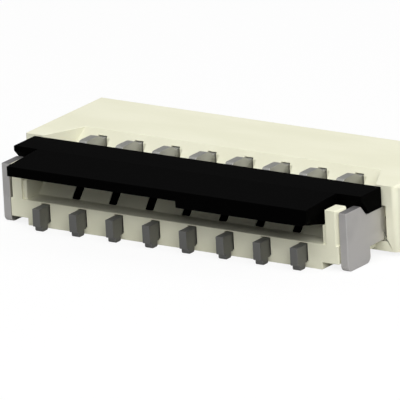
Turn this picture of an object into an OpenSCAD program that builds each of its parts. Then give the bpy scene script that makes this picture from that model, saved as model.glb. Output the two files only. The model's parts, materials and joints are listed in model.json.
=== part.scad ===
// Right-angle surface-mount connector for flexible printed circuits.
// A rotary lever lies flat at the solder-tail side and swings up to open.
// +X runs along the contact row, +Y points to the cable mouth, +Z is up from the board.

/* [Contacts] */
// Number of contacts
contact_count = 8; // [2:1:20]
// Centre distance of neighbouring contacts
pitch = 1.0; // [0.8:0.05:1.5]
// Thickness of the contact strip metal
contact_t = 0.2; // [0.12:0.01:0.24]
// Reach of the solder tails in front of the sill
tail_reach = 0.39; // [0.25:0.01:0.6]
// Height of the solder tails above the board
tail_h = 0.55; // [0.45:0.01:0.56]
// Height of the lower beam's underside above the board
beam_z = 0.16; // [0.12:0.01:0.2]
// Height of the relief under the tail's front face
toe_h = 0.13; // [0.08:0.01:0.2]
// Setback of the soldered toe behind the tail's front face
toe_setback = 0.08; // [0.04:0.01:0.12]
// Radius of the toe's lower corners
toe_r = 0.05; // [0.02:0.01:0.06]
// Thickness of the hook that cradles the lever
hook_t = 0.13; // [0.1:0.01:0.15]
// Length of the hook under the lever
hook_reach = 0.38; // [0.3:0.01:0.42]
// Radius of the hook's outer corners
hook_r = 0.08; // [0.04:0.01:0.09]
// Setback of the hook's upright behind the main body's front
hook_setback = 0.08; // [0.05:0.01:0.1]
// Length of the hook's root along the arm
hook_root = 0.3; // [0.2:0.01:0.4]
// Clearance between the hook and the lever's pocket
hook_gap = 0.07; // [0.04:0.01:0.08]
// Length of the hook's flat top
hook_flat = 0.34; // [0.3:0.01:0.36]
// Height of the arm behind the hook where it enters the housing
arm_top = 1.5; // [1.42:0.01:1.52]
// Radius of the bend between the hook and the arm
arm_bend_r = 0.34; // [0.25:0.01:0.4]
// Depth of the web that joins the upper and the lower beam
web_t = 0.28; // [0.2:0.01:0.35]
// Radius of the bumps that touch the cable
bump_r = 0.11; // [0.08:0.01:0.13]

/* [Housing] */
// Wall outside the outermost contact, measured from its centre
end_wall = 1.55; // [1.4:0.01:2]
// Height of the housing's top above the board
body_top = 1.65; // [1.6:0.01:1.9]
// Gap under the wings of the housing
body_lift = 0.1; // [0.05:0.01:0.15]
// Depth of the tray in front of the main body
tray_d = 1.5; // [1.45:0.01:1.7]
// Depth of the main body behind the tray
body_d = 3.1; // [2.9:0.01:4]
// Radius of the main body's upright corners
body_r = 0.12; // [0.02:0.01:0.15]
// Bevel along the top edges
top_bevel = 0.06; // [0.02:0.01:0.08]
// Height of the sill over the solder tails
sill_h = 0.6; // [0.6:0.01:0.65]
// Depth of the sill's flat top
sill_d = 0.48; // [0.42:0.01:0.52]
// Angle of the ramp behind the sill
ramp_angle = 49.7; // [45:0.1:55]
// Height of the deck under the lever
deck_z = 0.97; // [0.9:0.01:1.0]
// Height of the gap under the end posts
post_lift = 0.17; // [0.1:0.01:0.2]
// Height of the end posts
post_h = 1.42; // [1.35:0.01:1.45]
// Width of the end posts
post_w = 0.32; // [0.28:0.01:0.36]
// Depth of the end posts
post_d = 0.46; // [0.4:0.01:0.5]
// Radius of the end posts' outer top edge and rear outer corner
post_r = 0.09; // [0.04:0.01:0.12]
// Width of the bevel at the post's front outer edge
post_bevel_w = 0.06; // [0.02:0.01:0.1]
// Depth of that bevel
post_bevel_d = 0.1; // [0.04:0.01:0.14]
// Gap between an end post and its hold-down
post_gap = 0.03; // [0.02:0.01:0.05]
// Height of the low wall between an end post and the main body
curb_h = 1.12; // [1.05:0.01:1.13]
// Thickness of the tray's inner side walls
wall_t = 0.11; // [0.08:0.01:0.14]
// Height of the tray's inner side walls
wall_h = 1.04; // [1:0.01:1.1]
// Setback of the tray's inner side walls behind the sill's front face
wall_setback = 0.05; // [0.02:0.01:0.2]
// Distance from the outermost contact to the end of the contact recess
recess_end = 0.515; // [0.4:0.005:0.6]
// Distance of the recess's top edge behind the main body's front
recess_d = 0.99; // [0.95:0.01:1.1]
// Angle of the recess's back slope
recess_angle = 54; // [50:1:60]
// Width that the recess gains at each end towards the front
recess_flare = 0.52; // [0.3:0.01:0.52]
// Width of the notch behind each contact hook
notch_w = 0.4; // [0.3:0.01:0.6]
// Distance of the notch's back wall in front of the recess's top edge
notch_inset = 0.12; // [0.08:0.01:0.16]

/* [Cable mouth] */
// Thickness of the cable
cable_t = 0.3; // [0.2:0.01:0.33]
// Room above and below the cable
cable_room = 0.07; // [0.04:0.01:0.09]
// Height of the mouth's floor above the board
mouth_z = 0.58; // [0.56:0.01:0.62]
// Thickness of the side walls of the mouth
mouth_wall = 0.5; // [0.4:0.01:0.6]
// Depth that the cable goes in
mouth_d = 1.8; // [1.6:0.01:1.85]
// Size of the lead-in bevels
lead_in = 0.2; // [0.1:0.01:0.24]

/* [Lever] */
// Distance from the outermost contact to the end of the lever's bar
bar_end = 1.22; // [1.15:0.01:1.25]
// Height of the lever's top above the board
lever_top = 1.63; // [1.58:0.01:1.64]
// Height of the bar's underside above the board
bar_under = 1.155; // [1.15:0.005:1.18]
// Depth of the bar from front to back
bar_d = 0.88; // [0.8:0.01:0.92]
// Gap between the bar and the main body
bar_gap = 0.02; // [0.01:0.01:0.04]
// Radius of the bar's rear upper edge, which turns in place
hinge_r = 0.06; // [0.04:0.01:0.08]
// Height of the bar's upright front face at its ends
bar_nose_h = 0.12; // [0.08:0.01:0.2]
// Depth of the undercut below the bar's front at its ends
bar_undercut = 0.19; // [0.1:0.01:0.22]
// Depth of the steep lower part of that undercut
bar_foot_in = 0.09; // [0.08:0.01:0.12]
// Height of the steep lower part of that undercut
bar_foot_h = 0.155; // [0.1:0.005:0.2]
// Bevel at the bar's upright corners
bar_bevel = 0.06; // [0.02:0.01:0.1]
// Reach of the lip in front of the sill
lip_reach = 0.65; // [0.4:0.01:0.8]
// Height of the lip's front face
lip_h = 0.235; // [0.18:0.005:0.26]
// Fall of the lip's top towards its front edge
lip_fall = 0.06; // [0:0.01:0.1]
// Drop of the deeper half of the lip
skirt_drop = 0.155; // [0.1:0.005:0.2]
// Depth of the deeper half from front to back
skirt_d = 0.2; // [0.15:0.01:0.3]
// Distance of the deeper half's inner end from the middle
skirt_start = 0.53; // [0.1:0.01:1]
// Thickness of the cheeks at the lever's ends
cheek_t = 0.2; // [0.15:0.01:0.3]
// Height of the cheek's underside above the board on the deeper half
cheek_under = 1.02; // [1.01:0.01:1.1]
// Setback of the cheeks behind the lip's front edge
cheek_setback = 0.15; // [0.1:0.01:0.2]
// Distance from the sill's front face to the lowest part of a cheek
cheek_low_y = 0.16; // [0.1:0.01:0.25]
// Clearance between the cheeks and the tray's inner side walls
cheek_gap = 0.03; // [0.02:0.01:0.05]
// Thickness of the ribs between the contacts
rib_t = 0.19; // [0.12:0.01:0.25]
// Depth of the ribs from front to back
rib_d = 0.22; // [0.15:0.01:0.3]
// Width of the pockets over the contact hooks
pocket_w = 0.36; // [0.3:0.01:0.5]
// Thickness of the skin over the pockets
skin_t = 0.12; // [0.09:0.01:0.13]

/* [Hold-downs] */
// Distance from the outermost contact to the outer face of a hold-down
hold_end = 1.18; // [1.1:0.01:1.2]
// Thickness of the hold-down metal
hold_t = 0.2; // [0.12:0.01:0.22]
// Height of the hold-down's front part
hold_h = 1.385; // [1.3:0.005:1.42]
// Height of the ledge that carries the lever's end
hold_ledge = 1.145; // [1.1:0.005:1.145]
// Setback of the hold-down behind the sill's front face
hold_setback = 0.03; // [0:0.01:0.06]
// Depth of the hold-down's high front part
hold_front_d = 0.61; // [0.45:0.01:0.61]
// Depth of the slope between the high front part and the ledge
hold_slope_d = 0.21; // [0.15:0.01:0.22]
// Depth of its soldered leg
leg_d = 0.92; // [0.7:0.01:1.1]
// Height of its soldered leg
leg_h = 0.367; // [0.3:0.001:0.45]
// Radius of the leg's lower corners
leg_r = 0.15; // [0.05:0.01:0.2]
// Depth that the hold-down's tongue enters the main body
hold_anchor = 0.45; // [0.3:0.01:0.6]
// Height of the tongue's top above the board
tongue_top = 0.85; // [0.7:0.01:0.88]
// Room beside the hold-down where it enters the main body
slot_room = 0.08; // [0.04:0.01:0.1]
// Depth of that room
slot_d = 0.12; // [0.08:0.01:0.2]

/* [Fits] */
// Clearance around metal pieces in the housing
fit_gap = 0.02; // [0.01:0.005:0.03]
// Clearance between the lever's lip and the end posts
lip_gap = 0.07; // [0.05:0.01:0.12]
// Clearance around the lever's ribs
rib_gap = 0.02; // [0.01:0.005:0.04]

/* [Hidden] */
$fn = 32;
eps = 0.01;

// Distances along X
row_half = (contact_count - 1) / 2 * pitch;
body_half = row_half + end_wall;
bar_half = row_half + bar_end;
recess_half = row_half + recess_end;
hold_out = row_half + hold_end;
hold_in = hold_out - hold_t;
post_out = hold_in - post_gap;
post_in = post_out - post_w;
lip_half = post_in - lip_gap;
wall_in = post_in - wall_t;
cheek_out = wall_in - cheek_gap;
pad_half = post_in - wall_t - 0.02;
mouth_half = body_half - mouth_wall;

// Distances along Y, from the sill's front face
body_back = tray_d + body_d;
recess_y = tray_d + recess_d;
notch_y = recess_y - notch_inset;
mouth_y = body_back - mouth_d;
bar_back = tray_d - bar_gap;
bar_front = bar_back - bar_d;
lip_back = bar_front + bar_undercut + bar_foot_in;
hook_y = tray_d + hook_setback;
hook_tip_y = hook_y - hook_reach;
arm_foot_y = hook_y + hook_root;
arm_bend_y = hook_y + hook_r + hook_flat;
beam_end = body_back - 2 * lead_in;
bump_y = beam_end - 3 * bump_r;
web_y = mouth_y - web_t - fit_gap;

// Heights
mouth_top = mouth_z + cable_t + 2 * cable_room;
lip_top = lever_top - lip_fall;
lip_under = lip_top - lip_h;
hook_top = lever_top - eps;
hook_floor = bar_under + hook_gap / 2;
hook_tip = lever_top - skin_t - hook_gap;
arm_z = bar_under;
arm_bend_end = asin(1 - (hook_top - arm_top) / arm_bend_r);
beam_top = tail_h - bump_r / 2;
beam_bump_z = mouth_z + cable_room / 2;
finger_z = mouth_top - cable_room / 2;
roof_z = arm_top + fit_gap;
ramp_top_y = sill_d + (deck_z - sill_h) / tan(ramp_angle);
recess_foot_y = recess_y - (body_top - deck_z) / tan(recess_angle);

// The middle of the part along Y is the origin
mid_y = (body_back - lip_reach) / 2;

function contact_x(i) = (i - (contact_count + 1) / 2) * pitch;
function arc(c, r, a0, a1, n = 8) =
    [for (i = [0:n]) c + r * [cos(a0 + (a1 - a0) * i / n), sin(a0 + (a1 - a0) * i / n)]];

// Draws a side profile, given as (y, z), as a plate of thickness t centred on x
module plate(x, t) {
    translate([x - t / 2, -mid_y, 0])
        rotate([90, 0, 90])
            linear_extrude(t)
                children();
}

// A box given by its low and high corners
module span(low, high) {
    translate([low[0], low[1] - mid_y, low[2]])
        cube(high - low);
}

module at_contacts() {
    for (i = [1:contact_count])
        translate([contact_x(i), 0, 0])
            children();
}

module between_contacts() {
    for (i = [1:contact_count - 1])
        translate([contact_x(i) + pitch / 2, 0, 0])
            children();
}

// Housing

// Main block with rounded upright corners and bevelled top edges
module main_block() {
    depth = body_back - tray_d;
    difference() {
        translate([0, tray_d - mid_y, body_lift])
            linear_extrude(body_top - body_lift)
                translate([-body_half, 0])
                    rounded_plan(2 * body_half, depth, body_r);
        for (side = [-1, 1])
            translate([side * body_half, 0, body_top])
                rotate([0, 45, 0])
                    cube([top_bevel * sqrt(2), 4 * body_back, top_bevel * sqrt(2)], center = true);
        translate([0, body_back - mid_y, body_top])
            rotate([45, 0, 0])
                cube([4 * body_half, top_bevel * sqrt(2), top_bevel * sqrt(2)], center = true);
    }
}

module rounded_plan(w, d, r) {
    translate([r, 0])
        square([w - 2 * r, d]);
    translate([0, r])
        square([w, d - 2 * r]);
    for (x = [r, w - r], y = [r, d - r])
        translate([x, y])
            circle(r);
}

// Sill, ramp and deck, which carry the contacts under the lever
module tray() {
    plate(0, 2 * post_out)
        polygon([
            [0, post_lift], [0, sill_h], [sill_d, sill_h],
            [ramp_top_y, deck_z], [tray_d + body_r, deck_z], [tray_d + body_r, post_lift]
        ]);
    span([-pad_half, 0, 0], [pad_half, body_back - lead_in, body_lift + post_lift]);
}

// End post with a rounded outer top edge and a rounded rear outer corner
module post(side) {
    r = post_r;
    place = side > 0 ? post_in : -post_in;
    intersection() {
        translate([place, -mid_y, 0])
            linear_extrude(post_h)
                scale([side, 1])
                    polygon(concat(
                        [[0, 0], [post_w - post_bevel_w, 0], [post_w, post_bevel_d]],
                        arc([post_w - r, post_d - r], r, 0, 90),
                        [[0, post_d]]
                    ));
        translate([place, 2 * post_d - mid_y, 0])
            rotate([90, 0, 0])
                linear_extrude(3 * post_d)
                    scale([side, 1])
                        polygon(concat(
                            [[-eps, post_h], [-eps, post_lift], [post_w + eps, post_lift]],
                            arc([post_w + eps - r, post_h - r], r, 0, 90)
                        ));
    }
}

// Low wall behind an end post, and the tray's thinner inner side wall
module curb(side) {
    x0 = side > 0 ? post_in : -post_out;
    span([x0, post_d - 2 * post_r, post_lift], [x0 + post_w, tray_d + body_r, curb_h]);
    w0 = side > 0 ? wall_in : -post_in - eps;
    span([w0, wall_setback, post_lift], [w0 + wall_t + eps, tray_d + body_r, wall_h]);
}

// Recess behind the lever with its sloping back and flared ends
module recess() {
    front_half = recess_half + recess_flare;
    intersection() {
        plate(0, 2 * front_half)
            polygon([
                [tray_d - eps, deck_z], [recess_foot_y, deck_z],
                [recess_y, body_top], [recess_y, body_top + eps], [tray_d - eps, body_top + eps]
            ]);
        translate([0, -mid_y, 0])
            linear_extrude(2 * body_top)
                polygon([
                    [-front_half, tray_d - 2 * eps], [-recess_half, recess_y + eps],
                    [recess_half, recess_y + eps], [front_half, tray_d - 2 * eps]
                ]);
    }
}

// Room for one contact: its lower beam, its web, its upper arm and its hook
module contact_room() {
    w = contact_t + 2 * fit_gap;
    span([-w / 2, -eps, beam_z - fit_gap], [w / 2, body_back + eps, tail_h + fit_gap]);
    span([-w / 2, web_y - fit_gap, beam_z], [w / 2, mouth_y + eps, roof_z]);
    span([-w / 2, mouth_y, tail_h], [w / 2, beam_end + 2 * fit_gap, roof_z]);
    span([-w / 2, mouth_y, tail_h], [w / 2, body_back + eps, mouth_z + eps]);
    span([-w / 2, notch_y - eps, arm_z - fit_gap], [w / 2, mouth_y, roof_z]);
    span([-notch_w / 2, tray_d, deck_z], [notch_w / 2, notch_y, body_top + eps]);
}

module rib_room() {
    w = rib_t + 2 * rib_gap;
    span([-w / 2, sill_d, sill_h - rib_gap], [w / 2, ramp_top_y + rib_d + 3 * rib_gap, deck_z + eps]);
}

// Cable mouth with lead-in bevels above, below and at both sides
module mouth() {
    plate(0, 2 * mouth_half)
        polygon([
            [mouth_y, mouth_z], [body_back - lead_in, mouth_z],
            [body_back + eps, mouth_z - lead_in / 2], [body_back + eps, mouth_top + lead_in],
            [body_back - lead_in, mouth_top], [mouth_y, mouth_top]
        ]);
    for (side = [-1, 1])
        translate([side * mouth_half, body_back - mid_y, mouth_z])
            linear_extrude(mouth_top - mouth_z)
                rotate(45)
                    square(lead_in, center = true);
}

// Room for a hold-down: a shallow slot in the main body's front and a deeper one for the tongue
module hold_down_room(side) {
    outer = hold_out + slot_room;
    slot_w = outer - hold_in + fit_gap;
    slot_x = side > 0 ? hold_in - fit_gap : -outer;
    span(
        [slot_x, tray_d - eps, leg_h - fit_gap],
        [slot_x + slot_w, tray_d + slot_d, hold_ledge + fit_gap]
    );
    x0 = side > 0 ? hold_in : -hold_out;
    span(
        [x0 - fit_gap, tray_d, leg_h - fit_gap],
        [x0 + hold_t + fit_gap, tray_d + hold_anchor + fit_gap, tongue_top + fit_gap]
    );
}

module housing() {
    color("#E9E9D3")
        difference() {
            union() {
                main_block();
                tray();
                for (side = [-1, 1]) {
                    post(side);
                    curb(side);
                }
            }
            recess();
            mouth();
            at_contacts() contact_room();
            between_contacts() rib_room();
            for (side = [-1, 1])
                hold_down_room(side);
        }
}

// Contacts

// Side outline of one stamped contact. Each part of it is a run of (y, z) points.

// Solder tail: front face, then the set-back toe with rounded lower corners
function tail_outline() = concat(
    [[0, beam_z], [0, toe_h], [-toe_setback, toe_h]],
    arc([-toe_setback - toe_r, toe_r], toe_r, 0, -90),
    arc([-tail_reach + toe_setback + toe_r, toe_r], toe_r, -90, -180),
    [[-tail_reach + toe_setback, toe_h], [-tail_reach, toe_h], [-tail_reach, tail_h]]
);

// Hook that cradles the lever, and the arm that bends down into the housing
function hook_outline() = concat(
    [[web_y, tail_h], [web_y, arm_z], [arm_foot_y, arm_z], [arm_foot_y, hook_floor]],
    arc([hook_tip_y + hook_r, hook_floor + hook_r], hook_r, 270, 180),
    [[hook_tip_y, hook_tip], [hook_tip_y + hook_t, hook_tip]],
    [[hook_tip_y + hook_t, hook_floor + hook_t], [hook_y, hook_floor + hook_t]],
    arc([hook_y + hook_r, hook_top - hook_r], hook_r, 180, 90),
    arc([arm_bend_y, hook_top - arm_bend_r], arm_bend_r, 90, arm_bend_end),
    [[notch_y, arm_top]]
);

// Upper spring finger with its bump over the cable
function finger_outline() = concat(
    [[beam_end - bump_r, arm_top], [beam_end, arm_top - bump_r]],
    arc([beam_end - bump_r, finger_z + bump_r], bump_r, 0, -180),
    [[web_y + web_t, arm_z], [web_y + web_t, tail_h]]
);

// Lower beam with its bump under the cable
function beam_outline() = concat(
    [[web_y + web_t + 2 * bump_r, beam_top]],
    arc([bump_y, beam_bump_z - bump_r], bump_r, 180, 0),
    [[beam_end, beam_top], [beam_end, beam_z]]
);

module contact(i) {
    color("#A9A9A6")
        translate([contact_x(i), 0, 0])
            plate(0, contact_t)
                polygon(concat(tail_outline(), hook_outline(), finger_outline(), beam_outline()));
}

// Hold-downs

module hold_down_profile() {
    front = hold_setback;
    slope_y = front + hold_front_d;
    step_y = tray_d + slot_d - fit_gap;
    polygon(concat(
        arc([front + leg_r, leg_r], leg_r, 180, 270),
        arc([front + leg_d - leg_r, leg_r], leg_r, 270, 360),
        [[front + leg_d, leg_h], [tray_d + hold_anchor, leg_h], [tray_d + hold_anchor, tongue_top]],
        [[step_y, tongue_top], [step_y, hold_ledge]],
        [[slope_y + hold_slope_d, hold_ledge], [slope_y, hold_h], [front, hold_h]]
    ));
}

module hold_down(side) {
    color("#A5A3A3")
        plate(side * (hold_in + hold_t / 2), hold_t)
            hold_down_profile();
}

// Lever

// Bar across the whole width, with bevelled upright corners
module bar() {
    intersection() {
        plate(0, 2 * bar_half)
            polygon(concat(
                arc([bar_back - hinge_r, lever_top - hinge_r], hinge_r, 90, 0),
                [[bar_back, bar_under], [bar_front + bar_undercut + bar_foot_in, bar_under]],
                [[bar_front + bar_undercut, bar_under + bar_foot_h]],
                [[bar_front, lever_top - bar_nose_h], [bar_front, lever_top]]
            ));
        translate([0, -mid_y, 0])
            linear_extrude(2 * body_top)
                polygon([
                    [-bar_half, bar_front - eps], [-bar_half, bar_back - bar_bevel],
                    [-bar_half + bar_bevel, bar_back + eps], [bar_half - bar_bevel, bar_back + eps],
                    [bar_half, bar_back - bar_bevel], [bar_half, bar_front - eps]
                ]);
    }
}

// Thin front plate that the finger lifts
module lip() {
    plate(0, 2 * lip_half)
        polygon([
            [-lip_reach, lip_under], [-lip_reach, lip_top],
            [bar_front, lever_top], [lip_back, lever_top], [lip_back, lip_under]
        ]);
}

// Deeper half of the lip, with a rounded outer lower corner
module skirt() {
    r = skirt_drop;
    low = lip_under - skirt_drop;
    translate([0, skirt_d - lip_reach - mid_y, 0])
        rotate([90, 0, 0])
            linear_extrude(skirt_d)
                polygon(concat(
                    [[skirt_start, lip_under + eps], [skirt_start, low]],
                    arc([lip_half - r, low + r], r, 270, 360),
                    [[lip_half, lip_under + eps]]
                ));
}

// Cheeks that close the underside at both ends, deeper at the deeper half
module cheek(side) {
    front = cheek_setback - lip_reach;
    rise = side > 0 ? 0 : skirt_drop - eps;
    plate(side * (cheek_out - cheek_t / 2), cheek_t)
        polygon([
            [front, lip_under + eps], [front, lip_under - skirt_drop + rise],
            [cheek_low_y, cheek_under + rise], [bar_front - rise / 2, cheek_under + rise],
            [bar_front + bar_undercut, bar_under + rise], [lip_back, bar_under + rise],
            [lip_back, lip_under + eps]
        ]);
}

// Rib that lies in a notch of the ramp
module rib() {
    foot_z = sill_h + eps;
    foot_y = sill_d + eps / tan(ramp_angle);
    head_z = bar_under + eps;
    head_y = foot_y + (head_z - foot_z) / tan(ramp_angle);
    plate(0, rib_t)
        polygon([[foot_y, foot_z], [head_y, head_z], [head_y + rib_d, head_z], [foot_y + rib_d, foot_z]]);
}

// Pocket over one contact hook, open to the back and below
module pocket() {
    span(
        [-pocket_w / 2, hook_tip_y - hook_gap, bar_under - eps],
        [pocket_w / 2, tray_d, lever_top - skin_t]
    );
}

module actuator() {
    color("#0A0A0A")
        difference() {
            union() {
                bar();
                lip();
                skirt();
                for (side = [-1, 1])
                    cheek(side);
                between_contacts() rib();
            }
            at_contacts() pocket();
        }
}

housing();
actuator();
hold_down(-1);  // hold_down_left
hold_down(1);  // hold_down_right
contact(1);  // contact_1
contact(2);  // contact_2
contact(3);  // contact_3
contact(4);  // contact_4
contact(5);  // contact_5
contact(6);  // contact_6
contact(7);  // contact_7
contact(8);  // contact_8
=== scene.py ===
# %% [markdown]
# # A connector for flat flexible cables
# The real part is a low block of cream plastic that is soldered to the edge of a
# circuit board. Eight stamped metal contacts run through it, two metal hold-downs
# grip the board, and a black lever flips up to let the cable in. All of it fits on
# a fingernail, so every size here is a fraction of a millimetre.
# The solid parts come ready-made from the frame. This script gives them their
# edges, their finish, a camera and light.

# %% Load the frame
import json
import math

import bmesh
import bpy
from mathutils import Matrix, Vector


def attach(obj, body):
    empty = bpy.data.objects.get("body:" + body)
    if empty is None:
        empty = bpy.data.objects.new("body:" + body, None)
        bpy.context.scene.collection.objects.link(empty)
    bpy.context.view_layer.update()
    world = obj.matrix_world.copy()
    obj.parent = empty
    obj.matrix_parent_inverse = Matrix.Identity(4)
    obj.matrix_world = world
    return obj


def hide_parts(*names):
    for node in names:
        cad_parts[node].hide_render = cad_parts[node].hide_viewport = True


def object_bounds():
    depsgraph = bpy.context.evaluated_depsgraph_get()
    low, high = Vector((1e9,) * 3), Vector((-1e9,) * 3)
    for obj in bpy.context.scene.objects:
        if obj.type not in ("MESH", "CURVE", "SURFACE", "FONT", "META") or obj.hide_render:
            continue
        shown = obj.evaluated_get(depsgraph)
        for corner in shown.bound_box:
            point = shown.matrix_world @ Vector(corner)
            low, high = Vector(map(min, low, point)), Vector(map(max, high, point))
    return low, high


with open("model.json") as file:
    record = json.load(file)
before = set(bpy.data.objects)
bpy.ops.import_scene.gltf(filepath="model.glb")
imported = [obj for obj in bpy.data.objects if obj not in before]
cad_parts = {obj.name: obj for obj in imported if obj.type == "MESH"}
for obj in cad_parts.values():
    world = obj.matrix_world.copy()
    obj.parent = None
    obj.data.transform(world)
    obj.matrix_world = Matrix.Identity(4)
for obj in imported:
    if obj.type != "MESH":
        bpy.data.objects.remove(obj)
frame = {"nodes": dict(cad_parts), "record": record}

MM = 0.001
cad_low, cad_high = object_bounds()
size = (cad_high - cad_low) / MM
print(f"connector: {size.x:.2f} x {size.y:.2f} x {size.z:.2f} mm")

# %% [markdown]
# ## The picture's settings
# Standard is the plainest way of turning light into screen colours: a colour that
# is lit by white light at full strength looks the way it was written. The filmic
# looks are made for bright scenes and would make the cream housing grey.

# %% Screen colours
scene = bpy.context.scene
scene.view_settings.view_transform = "Standard"
print("view transform:", scene.view_settings.view_transform)

# %% [markdown]
# ## The camera
# A small part photographed from far away shows almost no perspective: the far
# contacts look as large as the near ones. A very long lens does the same here.
# The camera stands in front of the solder tails, to the right and a little above,
# and it is rolled by a few degrees, so upright edges lean to the left.

# %% Camera
AZIMUTH = math.radians(34.8)
ELEVATION = math.radians(17.0)
ROLL = math.radians(3.0)
LENS = 1400.0
SENSOR = 36.0
VIEW_WIDTH = 9.009 * MM
AIM = Vector((0.343, -1.370, 0.990)) * MM


def look_from(azimuth, elevation, roll):
    """Turns a camera so that it looks back along the given direction."""
    back = Vector((
        math.sin(azimuth) * math.cos(elevation),
        -math.cos(azimuth) * math.cos(elevation),
        math.sin(elevation),
    ))
    turn = (-back).to_track_quat("-Z", "Y").to_matrix().to_4x4()
    return back, turn @ Matrix.Rotation(-roll, 4, "Z")


camera_data = bpy.data.cameras.new("camera")
camera_data.lens = LENS
camera_data.sensor_width = SENSOR
camera = bpy.data.objects.new("camera", camera_data)
scene.collection.objects.link(camera)
distance = VIEW_WIDTH * LENS / SENSOR
back, turn = look_from(AZIMUTH, ELEVATION, ROLL)
camera.matrix_world = Matrix.Translation(AIM + back * distance) @ turn
camera_data.clip_start = distance * 0.1
camera_data.clip_end = distance * 10
scene.camera = camera
print(f"camera {distance / MM:.0f} mm away, {VIEW_WIDTH / MM:.2f} mm wide view")

# %% [markdown]
# ## Shader maths
# A material is a graph of nodes, and sums are easier to read as sums. This small
# class wraps one output socket. Adding or multiplying two of them writes the Math
# node that does it, and `1 - mask` works as well because the reflected forms are
# there. Any other node comes from `Graph.node`.

# %% A socket that can be added and multiplied
class Signal:
    """One output socket of a material's graph."""

    def __init__(self, graph, socket):
        self.graph = graph
        self.socket = socket

    def math(self, operation, *values):
        numbered = {f"input_{i}": value for i, value in enumerate(values)}
        return self.graph.node("ShaderNodeMath", {"operation": operation}, **numbered)

    def __add__(self, other):
        return self.math("ADD", self, other)

    def __radd__(self, other):
        return self.math("ADD", other, self)

    def __rsub__(self, other):
        return self.math("SUBTRACT", other, self)

    def __mul__(self, other):
        return self.math("MULTIPLY", self, other)

    def __rmul__(self, other):
        return self.math("MULTIPLY", other, self)

    def between(self, low, high):
        """0 at low, 1 at high, with a soft start and end."""
        return self.graph.node(
            "ShaderNodeMapRange",
            {"interpolation_type": "SMOOTHSTEP"},
            Value=self, From_Min=low, From_Max=high,
        )


class Graph:
    """A material with one Principled shader."""

    def __init__(self, name):
        self.material = bpy.data.materials.new(name)
        self.material.use_nodes = True
        self.tree = self.material.node_tree
        self.shader = self.tree.nodes["Principled BSDF"]
        self.output = self.tree.nodes["Material Output"]
        self.place = self.node("ShaderNodeTexCoord", output="Object")

    def feed(self, socket, value):
        if isinstance(value, Signal):
            self.tree.links.new(value.socket, socket)
        else:
            socket.default_value = value

    def node(self, kind, settings=None, output=0, **inputs):
        """Adds a node, sets it up, then feeds its inputs by name or number."""
        made = self.tree.nodes.new(kind)
        for key, value in (settings or {}).items():
            setattr(made, key, value)
        for key, value in inputs.items():
            name = int(key[6:]) if key.startswith("input_") else key.replace("_", " ")
            self.feed(made.inputs[name], value)
        return Signal(self, made.outputs[output])

    def noise(self, grain, detail, stretch=(1, 1, 1)):
        """Noise with lumps about `grain` metres across."""
        scale = tuple(s / grain for s in stretch)
        at = self.node("ShaderNodeMapping", Vector=self.place, Scale=scale)
        return self.node("ShaderNodeTexNoise", Vector=at, Scale=1.0, Detail=detail)

    def blend(self, mask, low, high):
        """Mixes two colours."""
        made = self.tree.nodes.new("ShaderNodeMix")
        made.data_type = "RGBA"
        self.feed(made.inputs["Factor"], mask)
        ends = [s for s in made.inputs if s.type == "RGBA"]
        for end, colour in zip(ends, (low, high)):
            self.feed(end, colour if isinstance(colour, Signal) else (*colour, 1.0))
        return Signal(self, [s for s in made.outputs if s.type == "RGBA"][0])

    def bump(self, height, depth):
        """Relief of `depth` metres where the height runs from 0 to 1."""
        return self.node(
            "ShaderNodeBump", output="Normal", Height=height, Distance=depth, Strength=1.0
        )

    def set(self, **inputs):
        """Feeds the Principled shader's own sockets."""
        for key, value in inputs.items():
            self.feed(self.shader.inputs[key.replace("_", " ")], value)


print("shader helpers ready")

# %% [markdown]
# ## Cream plastic
# The housing is moulded in a liquid-crystal polymer filled with short glass fibres.
# The mould is spark-eroded, so the surface is matte. A close look shows faint flow
# streaks along the row and a grain of a few hundredths of a millimetre.

# %% Cream plastic
def cream_plastic():
    g = Graph("cream_plastic")
    streaks = g.noise(0.9 * MM, detail=4, stretch=(0.35, 1.2, 1.2))
    grain = g.noise(0.03 * MM, detail=3)
    mottle = streaks.between(0.35, 0.7)
    fine = grain.between(0.4, 0.75)
    base = g.blend(mottle, (0.825, 0.815, 0.635), (0.855, 0.845, 0.675))
    g.set(
        Base_Color=g.blend(fine * 0.25, base, (0.79, 0.78, 0.60)),
        Roughness=0.55 + 0.12 * mottle,
        Normal=g.bump(grain, 0.0012 * MM),
        Specular_IOR_Level=0.3,
    )
    return g.material


# %% [markdown]
# ## Black plastic
# The lever is the same kind of polymer, coloured with carbon black. It takes in
# nearly all light, and a rough grain spreads what little it throws back.

# %% Black plastic
def black_plastic():
    g = Graph("black_plastic")
    streaks = g.noise(0.8 * MM, detail=3, stretch=(0.3, 1, 1))
    grain = g.noise(0.035 * MM, detail=3)
    soot = g.blend(streaks.between(0.3, 0.7), (0.0003, 0.0003, 0.0003), (0.0007, 0.0007, 0.0007))
    g.set(
        Base_Color=soot,
        Roughness=0.5 + 0.15 * streaks,
        Normal=g.bump(grain, 0.001 * MM),
        Specular_IOR_Level=0.01,
    )
    return g.material


# %% [markdown]
# ## Plated metal
# Contacts and hold-downs are punched out of thin strip and plated with matte tin.
# The broad faces keep the strip's fine rolling lines. Surfaces that face up, mostly
# the punched edges, are a little rougher and get a darker colour as painted shade.
# The contacts' feet, below the sill's top, get painted shade for the lever's shadow.

# %% Plated metal
# Below this height the contacts' faces get painted shade, standing for the lever's shadow.
FOOT_SHADE_TOP = 0.55 * MM
FOOT_SHADE_FADE = 0.13 * MM
DULLED = 0.86


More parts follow.
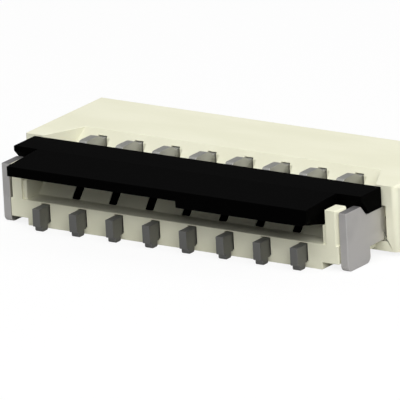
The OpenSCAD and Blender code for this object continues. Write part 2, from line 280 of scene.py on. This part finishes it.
def plated_metal(name, face, up_shade, rough, foot_shade):
    """Tin with a face colour, and a darker painted shade colour on surfaces that face up. The last
    factor paints shade on the face near the board.
    """
    g = Graph(name)
    normal = g.node("ShaderNodeTexCoord", output="Normal")
    # Surfaces that face up: they get the painted shade colour and a little more roughness.
    up = g.node("ShaderNodeSeparateXYZ", output="Z", Vector=normal).between(0.5, 0.9)
    lines = g.noise(0.02 * MM, detail=3, stretch=(1, 0.06, 1))
    cloud = g.noise(0.5 * MM, detail=3).between(0.3, 0.75)
    height = g.node("ShaderNodeSeparateXYZ", output="Z", Vector=g.place)
    # Painted shade on the feet for the lever's shadow: 1 near the board, 0 above the sill.
    low = 1 - height.between(FOOT_SHADE_TOP, FOOT_SHADE_TOP + FOOT_SHADE_FADE)
    # Random dull patches are wear. The next step adds the painted shade near the board.
    wear_and_shade = g.blend(cloud * 0.5, face, tuple(DULLED * c for c in face))
    wear_and_shade = g.blend(low, wear_and_shade, tuple(foot_shade * c for c in face))
    # The base colour takes the painted shade colour on surfaces that face up.
    g.set(
        Base_Color=g.blend(up, wear_and_shade, up_shade),
        Metallic=1.0,
        Roughness=rough + 0.1 * up + 0.08 * lines,
        Normal=g.bump(lines, 0.0005 * MM),
    )
    return g.material


FINISHES = {
    "housing": cream_plastic(),
    "actuator": black_plastic(),
    # Each metal's second colour is a painted shade for surfaces that face up.
    "hold_downs": plated_metal(
        "hold_down_tin", face=(0.60, 0.585, 0.575), up_shade=(0.24, 0.235, 0.235), rough=0.52, foot_shade=1.0
    ),
    # The contacts' last factor darkens their feet as painted shade for the lever's shadow.
    "contacts": plated_metal(
        "contact_tin", face=(0.44, 0.44, 0.425), up_shade=(0.34, 0.34, 0.32), rough=0.50, foot_shade=0.48
    ),
}
print("finishes:", ", ".join(FINISHES))

# %% [markdown]
# ## Soft edges
# No moulded or punched edge is truly sharp. A rounding of about a hundredth of a
# millimetre catches a fine line of light, and that makes the part look real.
# The frame's solids are loose triangles, so each piece starts as a joined copy:
# corners closer than a few thousandths of a millimetre are merged, and flat
# neighbours become one face again. Then every edge that turns by more than 30 degrees
# is bevelled with a round profile.

# %% Soft edges
MERGE = 0.006 * MM
FLAT = math.radians(1)
EDGE = math.radians(30)


def softened(node_name, width):
    """A copy of one solid whose edges are rounded by `width` millimetres."""
    mesh = bpy.data.meshes.new(node_name + "_soft")
    work = bmesh.new()
    work.from_mesh(frame["nodes"][node_name].data)
    bmesh.ops.remove_doubles(work, verts=work.verts, dist=MERGE)
    bmesh.ops.dissolve_limit(work, angle_limit=FLAT, verts=work.verts, edges=work.edges)
    sharp = [e for e in work.edges if e.is_manifold and e.calc_face_angle() > EDGE]
    bmesh.ops.bevel(
        work, geom=sharp, offset=width * MM, offset_type="OFFSET", segments=2,
        profile=0.5, affect="EDGES", clamp_overlap=False, material=-1,
    )
    work.to_mesh(mesh)
    work.free()
    piece = bpy.data.objects.new(mesh.name, mesh)
    scene.collection.objects.link(piece)
    return piece


ROUNDING = {"housing": 0.012, "actuator": 0.012, "hold_downs": 0.016, "contacts": 0.010}
for part in frame["record"]["subparts"]:
    name, slot = part["node"], part["material_slot"]
    piece = softened(name, ROUNDING[slot])
    piece.data.materials.append(FINISHES[slot])
    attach(piece, "lever" if slot == "actuator" else "base")
    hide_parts(name)
    print(f"{piece.name}: {len(piece.data.polygons)} faces, {slot}")

# %% [markdown]
# ## Floor and light
# The part stands on a pale sheet under soft boxes, as on a small product table.
# The camera sees the sheet as nearly white, and the part's shadow stays on it. For
# the light that bounces, the sheet is darker, so the underside stays in shade.

# %% Floor
FLOOR_HALF = 0.6
GLOW_SHARE = 0.85


def pale_sheet():
    g = Graph("pale_sheet")
    camera_ray = g.node("ShaderNodeLightPath", output="Is Camera Ray")
    g.set(Base_Color=g.blend(camera_ray, (0.5, 0.5, 0.5), (0.95, 0.95, 0.95)), Roughness=0.9)
    glow = g.node("ShaderNodeEmission", Color=(1, 1, 1, 1), Strength=1.0)
    both = g.node(
        "ShaderNodeMixShader", input_0=camera_ray * GLOW_SHARE,
        input_1=Signal(g, g.shader.outputs[0]), input_2=glow,
    )
    g.feed(g.output.inputs["Surface"], both)
    return g.material


floor_mesh = bpy.data.meshes.new("floor")
sheet = bmesh.new()
bmesh.ops.create_grid(sheet, x_segments=1, y_segments=1, size=FLOOR_HALF)
sheet.to_mesh(floor_mesh)
sheet.free()
floor = bpy.data.objects.new("floor", floor_mesh)
floor_mesh.materials.append(pale_sheet())
scene.collection.objects.link(floor)
print(f"floor: {2 * FLOOR_HALF:.1f} m square")

# %% [markdown]
# The world gives a little light from all round. The camera sees it as pure white.
# Reflections see a dimmer white, so that the metal looks grey.

# %% Surroundings
AMBIENT = 0.06
REFLECTED = 0.3
WHITE = 1.0
world = bpy.data.worlds.new("studio")
world.use_nodes = True
scene.world = world
tree = world.node_tree


def backdrop(strength):
    node = tree.nodes.new("ShaderNodeBackground")
    node.inputs["Color"].default_value = (1, 1, 1, 1)
    node.inputs["Strength"].default_value = strength
    return node.outputs[0]


def choose(ray, without, with_ray):
    """Shows one background to a kind of ray and the other to the rest."""
    node = tree.nodes.new("ShaderNodeMixShader")
    tree.links.new(rays.outputs[ray], node.inputs[0])
    tree.links.new(without, node.inputs[1])
    tree.links.new(with_ray, node.inputs[2])
    return node.outputs[0]


rays = tree.nodes.new("ShaderNodeLightPath")
seen = choose("Is Glossy Ray", backdrop(AMBIENT), backdrop(REFLECTED))
seen = choose("Is Camera Ray", seen, backdrop(WHITE))
tree.links.new(seen, tree.nodes["World Output"].inputs["Surface"])
print("world: white for the camera, dim for the rest")

# %% [markdown]
# The main soft box hangs high in front of the part. It lights the top and throws the
# lever's shadow over the sill. Boxes at the right fill the end faces, and two weak
# ones behind keep the back from going black.

# %% Soft boxes
BOX_SIDE = 90 * MM
BOX_REACH = 150 * MM


def soft_box(name, azimuth, elevation, power):
    """A square lamp that looks at the part. Azimuth 0 is in front, 90 at the right."""
    lamp = bpy.data.lights.new(name, "AREA")
    lamp.size = BOX_SIDE
    lamp.energy = power
    box = bpy.data.objects.new(name, lamp)
    way, turn = look_from(math.radians(azimuth), math.radians(elevation), 0.0)
    box.matrix_world = Matrix.Translation(way * BOX_REACH) @ turn
    scene.collection.objects.link(box)
    print(f"{name}: {power:.3f} W")


soft_box("high_front", 2, 67, 0.121)
soft_box("front_right", 45, 35, 0.125)
soft_box("right", 100, 25, 0.060)
soft_box("behind", 180, 45, 0.024)
soft_box("behind_left", -110, 45, 0.024)
